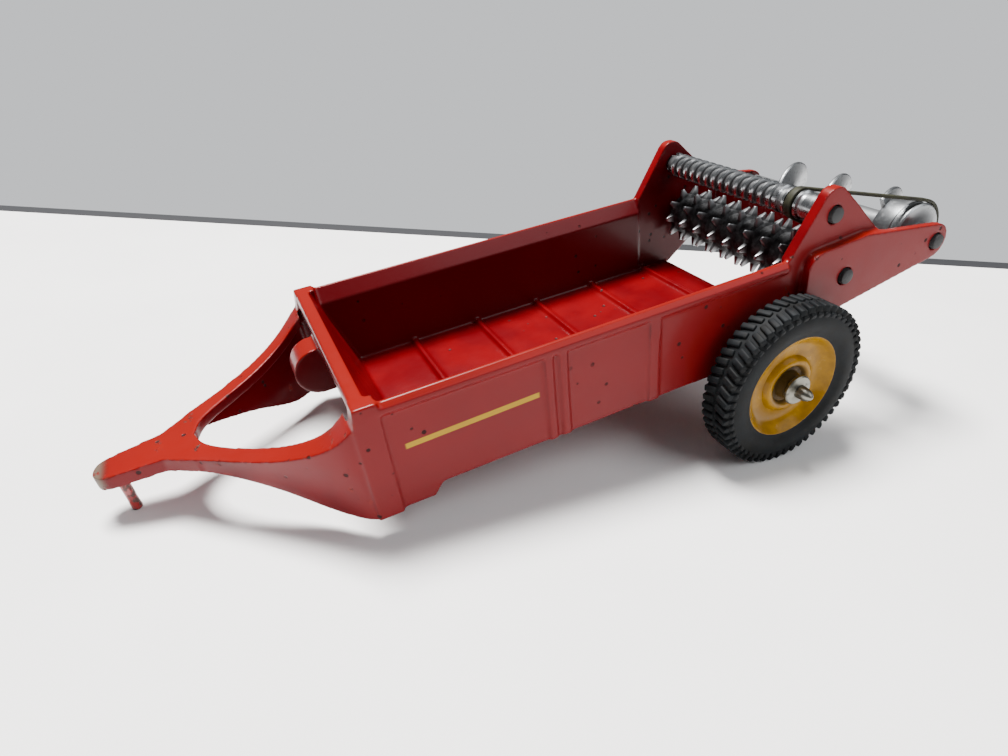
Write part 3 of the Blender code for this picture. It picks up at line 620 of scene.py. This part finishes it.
def tyreOutline():
    ground = tyre["radius"] - tyre["lugHeight"]
    inner, outer, bead = tyre["inner"], tyre["outer"], tyre["bead"]
    half = [(0.55, bead - 0.6), (0.38, bead + 0.02), (0.10, bead + 0.5), (0.0, bead + 1.2),
            (0.03, bead + 2.0), (0.20, bead + 2.6), (0.60, ground - 0.12), (1.2, ground)]
    near = [(inner + y, r) for y, r in half]
    far = [(outer - y, r) for y, r in reversed(half)]
    return near + [((inner + outer) / 2, ground + 0.05)] + far + [near[0]]


def hubOutline():
    face, back, radius = hub["face"], hub["back"], hub["radius"]
    dish = face - hub["dish"]                               # floor of the dish
    inside = [(back, 1.25), (back, 2.4), (back + 1.1, 3.0), (back + 1.1, 6.4), (back, 7.4),
              (back, radius - 0.15), (back + 0.15, radius), (back + 1.0, radius), (back + 1.0, 6.9)]
    rim = [(face - 1.0, 6.9), (face - 1.0, radius), (face - 0.25, radius), (face - 0.02, radius - 0.2),
           (face - 0.05, radius - 0.55), (face - 0.45, radius - 1.0)]
    dome = [(dish + 0.25, radius - 1.7), (dish, radius - 2.4), (dish, 4.55), (dish + 0.12, 4.25),
            (dish + 0.65, 3.95), (dish + 0.85, 3.65), (dish + 0.85, 3.2), (dish + 0.65, 2.9),
            (dish + 0.3, 2.65), (dish + 0.3, 2.1)]
    boss = [(face - 0.05, 1.85), (face + 0.08, 1.7), (face + 0.08, 1.25), (back, 1.25)]
    return inside + rim + dome + boss


def makeLug():
    clearSelection()
    bpy.ops.mesh.primitive_cube_add(size=mm)
    lug = bpy.context.object
    lug.scale = (tyre["lugWidth"], tyre["lugLength"], tyre["lugHeight"] + tyre["lugRoot"])
    settled(lug)
    bpy.ops.object.mode_set(mode="EDIT")
    bpy.ops.mesh.select_all(action="DESELECT")
    bpy.ops.object.mode_set(mode="OBJECT")
    for face in lug.data.polygons:
        face.select = face.normal.z > 0.9
    bpy.ops.object.mode_set(mode="EDIT")
    bpy.ops.transform.resize(value=tyre["lugTaper"])
    bpy.ops.object.mode_set(mode="OBJECT")
    return modified(lug, "BEVEL", width=tyre["lugBevel"] * mm, segments=2)


def makeWheel(side, name, body):
    centre = acrossCentre(name + "_wheel_spin")
    middle = (tyre["inner"] + tyre["outer"]) / 2
    seat = tyre["radius"] - (tyre["lugHeight"] + tyre["lugRoot"]) / 2
    lug = makeLug()
    parts = [turnedPiece(name + "TyreBody", [(side * y, r) for y, r in tyreOutline()], centre, 96)]

    def aroundTyre(k, row, y, radius):
        angle = turn * (k + row * 0.5) / tyre["lugs"]
        return (Matrix.Translation(centre) @ Matrix.Rotation(angle, 4, "Y")
                @ Matrix.Translation(Vector((0, side * y, radius)) * mm))

    for row, lean in enumerate((1, -1)):                    # two rows that lean against each other
        y = middle - lean * (tyre["lugLength"] / 2 + tyre["rowGap"])
        tilt = Matrix.Rotation(lean * side * tyre["lugLean"], 4, "Z")
        parts += [copied(lug, aroundTyre(k, row, y, seat) @ tilt) for k in range(tyre["lugs"])]
    # shoulder blocks carry each lug down onto the side wall
    for row, (edge, sign) in enumerate(((tyre["inner"], 1), (tyre["outer"], -1))):
        y = edge + sign * shoulder["inset"]
        tilt = Matrix.Rotation(sign * side * shoulder["lean"], 4, "X") @ Matrix.Diagonal(shoulder["scale"])
        parts += [copied(lug, aroundTyre(k, row, y, tyre["radius"] - shoulder["drop"]) @ tilt)
                  for k in range(tyre["lugs"])]
    removed(lug)
    rubber = smoothed(joinedAs(name + "Tyre", parts), 40)
    placed(rubber, "tyre_rubber", body, name + "_tyre")
    disc = turnedPiece(name + "Hub", [(side * y, r) for y, r in hubOutline()], centre, 72)
    placed(disc, "yellow_enamel", body, name + "_hub")


makeWheel(1, "left", "left_wheel")
makeWheel(-1, "right", "right_wheel")
print("wheels made")

# axle with washers and peened ends

axle = {"radius": 1.05, "face": 24.4, "washer": 2.15, "thick": 0.6, "tip": 2.3}


def makeAxle():
    face, radius, washer, tip = axle["face"], axle["radius"], axle["washer"], axle["tip"]
    outer = face + axle["thick"]
    half = [(face, radius), (face, washer - 0.1), (face + 0.12, washer), (outer - 0.15, washer),
            (outer, washer - 0.15), (outer + 0.05, radius * 1.15), (outer + 0.15, radius * 0.92),
            (outer + tip * 0.45, radius * 0.86), (outer + tip * 0.62, radius * 0.78),
            (outer + tip * 0.78, radius * 0.62), (outer + tip * 0.90, radius * 0.40),
            (outer + tip * 0.97, radius * 0.20), (outer + tip, 0.0)]
    bar = turnedPiece("axleBar", mirrored(half) + half, wheelCentre, 40)
    placed(bar, "axle_steel", "casting", "axle")


makeAxle()

# upper roller: a coil on a core, with the belt's pulley near its left end

upper = {"core": 1.42, "wire": 0.46, "wireLift": 0.08, "start": -15.3, "end": 7.9, "turns": 14,
         "pulley": 11.5, "barrelEnd": 15.8, "shaftEnd": 18.25}


def ringSection(radius, size, count=10):
    angles = [turn * k / count for k in range(count)]
    return [(size * math.cos(angle), radius + size * math.sin(angle)) for angle in angles]


def shaftTip(reach):
    return [(reach - 0.25, shaftRadius), (reach - 0.08, shaftRadius * 0.93), (reach, shaftRadius * 0.7),
            (reach, 0.0)]


def makeUpperRoller():
    centre = acrossCentre("upper_beater_spin")
    core, end, pulley, tip = upper["core"], upper["barrelEnd"], upper["pulley"], shaftTip(upper["shaftEnd"])
    collar = [(pulley - 3.3, core), (pulley - 3.1, 1.95), (pulley - 2.4, 1.98), (pulley - 2.2, 1.6),
              (pulley - 1.55, 1.55), (pulley - 1.4, 1.85)]
    groove = [(pulley - 1.25, 2.05), (pulley - 0.85, 2.05), (pulley - 0.72, 1.72), (pulley + 0.72, 1.72),
              (pulley + 0.85, 2.05), (pulley + 1.25, 2.05)]
    last = [(pulley + 1.45, 1.75), (pulley + 1.9, 1.7), (pulley + 2.05, 1.93), (end - 0.2, 1.95), (end, 1.75),
            (end, shaftRadius)]
    first = [(-end, shaftRadius), (-end, 1.35), (-end + 0.15, core)]
    bar = turnedPiece("upperBar", mirrored(tip) + first + collar + groove + last + tip, centre, 40)
    pitch = (upper["end"] - upper["start"]) / upper["turns"]
    wire = woundPiece("upperWire", ringSection(core + upper["wireLift"], upper["wire"]), centre, pitch,
                      upper["turns"], 1, upper["start"])
    roller = smoothed(joinedAs("upperRoller", [bar, wire]), 50)
    placed(roller, "plated_metal", "upper_roller", "upper_beater", finish=rollerMetal("upper_beater"))


# lower roller: nine rows of pointed teeth, each row on a low band

lower = {"core": 3.0, "radius": 4.85, "rows": 9, "teeth": 10, "rowReach": 14.3, "bandRise": 0.45,
         "barrelEnd": 15.8, "shaftEnd": 19.7}
toothShape = {"root": 0.5, "foot": 1.3, "point": 0.38, "squash": (1.05, 0.62, 1.0), "bevel": 0.09}


def makeTooth():
    clearSelection()
    height = lower["radius"] - lower["core"] + toothShape["root"]
    bpy.ops.mesh.primitive_cone_add(vertices=4, radius1=toothShape["foot"] * mm,
                                    radius2=toothShape["point"] * mm, depth=height * mm,
                                    location=(0, 0, (lower["radius"] - height / 2) * mm),
                                    rotation=(0, 0, math.pi / 4))
    tooth = bpy.context.object
    settled(tooth)
    bpy.ops.object.mode_set(mode="EDIT")
    bpy.ops.mesh.select_all(action="SELECT")
    bpy.ops.transform.resize(value=toothShape["squash"], center_override=(0, 0, 0))
    bpy.ops.object.mode_set(mode="OBJECT")
    return modified(tooth, "BEVEL", width=toothShape["bevel"] * mm, segments=2)


def makeLowerRoller():
    centre = acrossCentre("lower_beater_spin")
    end, core, tip = lower["barrelEnd"], lower["core"], shaftTip(lower["shaftEnd"])
    band = core + lower["bandRise"]
    rows = [lower["rowReach"] * (2 * row / (lower["rows"] - 1) - 1) for row in range(lower["rows"])]
    outline = mirrored(tip) + [(-end, shaftRadius), (-end, core - 0.2), (-end + 0.2, core)]
    for y in rows:
        outline += [(y - 0.75, core), (y - 0.45, band), (y + 0.45, band), (y + 0.75, core)]
    outline += [(end - 0.2, core), (end, core - 0.2), (end, shaftRadius)] + tip
    parts = [turnedPiece("lowerBar", outline, centre, 40)]
    tooth = makeTooth()
    for y in rows:
        for k in range(lower["teeth"]):
            angle = castingPitch + turn * k / lower["teeth"] + turn / 4
            parts.append(copied(tooth, Matrix.Translation(centre + Vector((0, y * mm, 0)))
                                @ Matrix.Rotation(angle, 4, "Y")))
    removed(tooth)
    roller = smoothed(joinedAs("lowerRoller", parts), 38)
    placed(roller, "plated_metal", "lower_roller", "lower_beater", finish=rollerMetal("lower_beater"))


# spreading auger: core, one long helical blade and the belt drum

auger = {"core": 1.9, "radius": 5.9, "blade": 0.8, "pitch": 9.5, "start": -16.4, "crest": -8.5, "end": 17.55,
         "drumInner": 11.4, "drumOuter": 15.9, "drum": 4.7, "shaftEnd": 19.7}


def augerOutline():
    end, core, drum, tip = auger["end"], auger["core"], auger["drum"], shaftTip(auger["shaftEnd"])
    inner, outer = auger["drumInner"], auger["drumOuter"]
    shaft = [(-end, shaftRadius), (-end, core - 0.2), (-end + 0.2, core), (inner - 0.3, core)]
    belly = [(inner, core + 0.3), (inner, drum - 0.45), (inner + 0.12, drum - 0.15), (inner + 0.45, drum),
             (outer - 1.5, drum), (outer - 1.42, drum - 0.12), (outer - 0.5, drum - 0.12),
             (outer - 0.42, drum - 0.02), (outer - 0.22, drum - 0.04), (outer - 0.03, drum - 0.25),
             (outer, drum - 0.5), (outer, core + 0.3)]
    collar = [(outer + 0.2, core), (end - 0.15, core), (end, core - 0.15), (end, shaftRadius)]
    return mirrored(tip) + shaft + belly + collar + tip


def makeAuger():
    centre = acrossCentre("auger_spin")
    bar = turnedPiece("augerBar", augerOutline(), centre, 64)
    width, root, tip = auger["blade"], auger["core"] - 0.4, auger["radius"]
    middle = (root + tip) / 2
    section = [(0, root), (0.0, middle), (0.06, tip - 0.22), (0.2, tip - 0.05), (width / 2, tip),
               (width - 0.2, tip - 0.05), (width - 0.06, tip - 0.22), (width, middle), (width, root)]
    turns = (auger["drumInner"] - auger["start"] - width + 0.3) / auger["pitch"]
    # at the crest the blade stands square to the box's floor
    lift = castingPitch + turn * (auger["start"] + width / 2 - auger["crest"]) / auger["pitch"]
    blade = woundPiece("augerBlade", section, centre, auger["pitch"], turns, -1, auger["start"], lift, 36)
    whole = smoothed(joinedAs("spreadingAuger", [bar, blade]), 40)
    placed(whole, "plated_metal", "auger", "spreading_auger", finish=rollerMetal("auger"))


makeUpperRoller()
makeLowerRoller()
makeAuger()
print("rollers made")

# belt

belt = {"rounding": 0.14}


def makeBelt():
    band = copiedNode("beater_belt", Matrix.Identity(4))
    modified(band, "BEVEL", width=belt["rounding"] * mm, segments=3, limit_method="ANGLE",
             angle_limit=math.radians(50))
    band.name = "driveBelt"
    smoothed(band, 30)
    placed(band, "band_rubber", "casting", "beater_belt")


makeBelt()

# floor, light and camera

studio = {"floor": (0.88, 0.875, 0.87), "edge": (0.010, 0.011, 0.014), "backEdge": (-0.033, -0.0825, 0.0),
          "edgeTurn": math.radians(149.5), "reach": 1.6, "edgeWidth": 0.0055, "world": (0.95, 0.97, 1.0),
          "worldStrength": 0.205, "wallSeen": 0.83}


def stagePlane(name, corners, colour):
    clearSelection()
    bpy.ops.mesh.primitive_plane_add(size=1)
    plane = bpy.context.object
    for vertex, corner in zip(plane.data.vertices, (corners[0], corners[1], corners[3], corners[2])):
        vertex.co = corner
    surface = Finish(name + "Finish", Roughness=0.75)
    spot = surface.place(turned=False)
    shade = surface.noise(spot, 0.02, 3)
    surface.set(Base_Color=surface.mixed(colour, tuple(c * 0.94 for c in colour), shade.rising(0.3, 0.7)))
    plane.data.materials.append(surface.material)
    plane.name = name


def makeStudio():
    back = Vector(studio["backEdge"])                      # a point on the table's far edge
    run = Vector((math.cos(studio["edgeTurn"]), math.sin(studio["edgeTurn"]), 0)) * studio["reach"]
    away = Vector((-run.y, run.x, 0)).normalized()
    depth, strip = away * -studio["reach"], away * studio["edgeWidth"]
    stagePlane("studioFloor", [back + run, back - run, back - run + depth, back + run + depth],
               studio["floor"])
    # painted shade: a thin dark strip along the table's far edge stands for the shadow there
    stagePlane("studioEdgeShade", [back + run + strip, back - run + strip, back - run, back + run], studio["edge"])


lights = {
    "key": {"place": (0.08, -0.16, 0.62), "size": 0.22, "power": 18.2, "colour": (1.0, 0.98, 0.96)},
    "fill": {"place": (-0.30, 0.42, 0.50), "size": 0.50, "power": 2.6, "colour": (0.96, 0.98, 1.0)},
}


def makeLights():
    world = bpy.data.worlds.new("studioWorld")
    bpy.context.scene.world = world
    world.use_nodes = True
    nodes, links = world.node_tree.nodes, world.node_tree.links
    back = nodes["Background"]
    back.inputs["Color"].default_value = (*studio["world"], 1)
    # the wall behind is seen brighter than the light that it gives
    rays, share = nodes.new("ShaderNodeLightPath"), nodes.new("ShaderNodeMapRange")
    share.inputs["To Min"].default_value = studio["worldStrength"]
    share.inputs["To Max"].default_value = studio["wallSeen"]
    links.new(rays.outputs["Is Camera Ray"], share.inputs["Value"])
    links.new(share.outputs["Result"], back.inputs["Strength"])
    for name, given in lights.items():
        lamp = bpy.data.lights.new(name, "AREA")
        lamp.size, lamp.energy, lamp.color = given["size"], given["power"], given["colour"]
        holder = bpy.data.objects.new(name, lamp)
        bpy.context.scene.collection.objects.link(holder)
        holder.location = given["place"]
        holder.rotation_euler = (-Vector(given["place"])).to_track_quat("-Z", "Y").to_euler()


camera = {"place": (0.04243, 0.07470, 0.05550), "azimuth": 153.875, "elevation": 29.83, "roll": 1.955,
          "lens": 22.84, "sensor": 36, "near": 0.002, "far": 20}


def makeCamera():
    azimuth, elevation = math.radians(camera["azimuth"]), math.radians(camera["elevation"])
    turnTo = (Matrix.Rotation(azimuth, 4, "Z") @ Matrix.Rotation(math.pi / 2 - elevation, 4, "X")
              @ Matrix.Rotation(math.radians(camera["roll"]), 4, "Z"))
    lens = bpy.data.cameras.new("camera")
    lens.lens, lens.sensor_width = camera["lens"], camera["sensor"]
    lens.clip_start, lens.clip_end = camera["near"], camera["far"]
    lens.dof.use_dof = False
    holder = bpy.data.objects.new("camera", lens)
    bpy.context.scene.collection.objects.link(holder)
    holder.matrix_world = Matrix.Translation(camera["place"]) @ turnTo
    bpy.context.scene.camera = holder


makeStudio()
makeLights()
makeCamera()
print("studio made")

bpy.context.view_layer.update()
